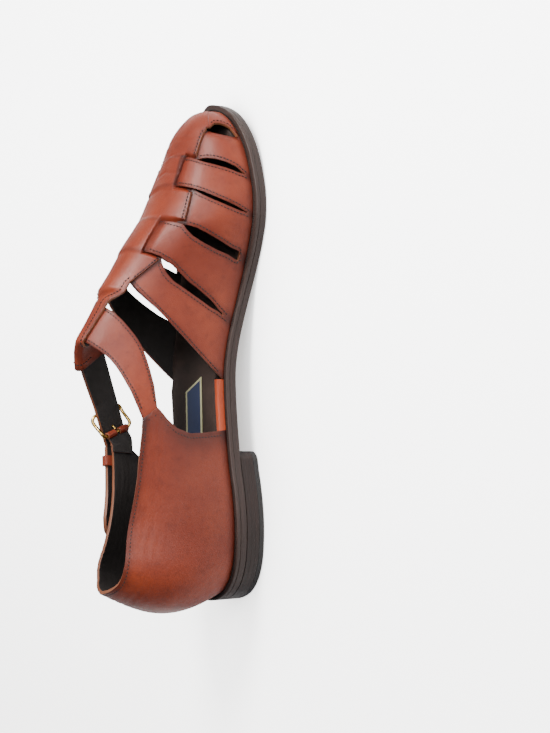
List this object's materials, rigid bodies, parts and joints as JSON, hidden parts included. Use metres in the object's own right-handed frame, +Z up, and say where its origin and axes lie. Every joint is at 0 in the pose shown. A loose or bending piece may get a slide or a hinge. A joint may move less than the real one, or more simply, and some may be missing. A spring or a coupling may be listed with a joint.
{
  "type": "fisherman sandal",
  "caption": "Left men's fisherman sandal in tan leather: woven closed toe, T-strap, buckled ankle strap, solid heel cup, welted leather sole and stacked low heel.",
  "frame": {"origin": "centre of the heel's flat tread, on the floor", "axes": "+X towards the toe, +Y towards the outer side of the foot, +Z up"},
  "size_m": [0.3051, 0.1005, 0.0995],
  "materials": {
    "tan_leather": "burnished, semi-gloss",
    "rolled_leather": "smooth, semi-gloss",
    "sole_edge_leather": "dyed and waxed edge",
    "welt_leather": "dyed and waxed",
    "heel_leather": "dyed stacked leather",
    "top_lift_rubber": "matte",
    "insole_leather": "matte",
    "buckle_brass": "polished"
  },
  "bodies": {
    "root": {"vamp": "tan_leather", "heel_cup": "tan_leather", "ankle_strap": "tan_leather", "strap_keeper": "tan_leather", "buckle_sleeve_upper": "tan_leather", "buckle_sleeve_lower": "tan_leather", "shank_roll": "rolled_leather", "outsole": "sole_edge_leather", "welt": "welt_leather", "heel_lift_1": "heel_leather", "heel_lift_2": "heel_leather", "heel_lift_3": "heel_leather", "heel_top_lift": "top_lift_rubber", "insole": "insole_leather", "buckle_frame": "buckle_brass", "buckle_prong": "buckle_brass"}
  },
  "joints": []
}
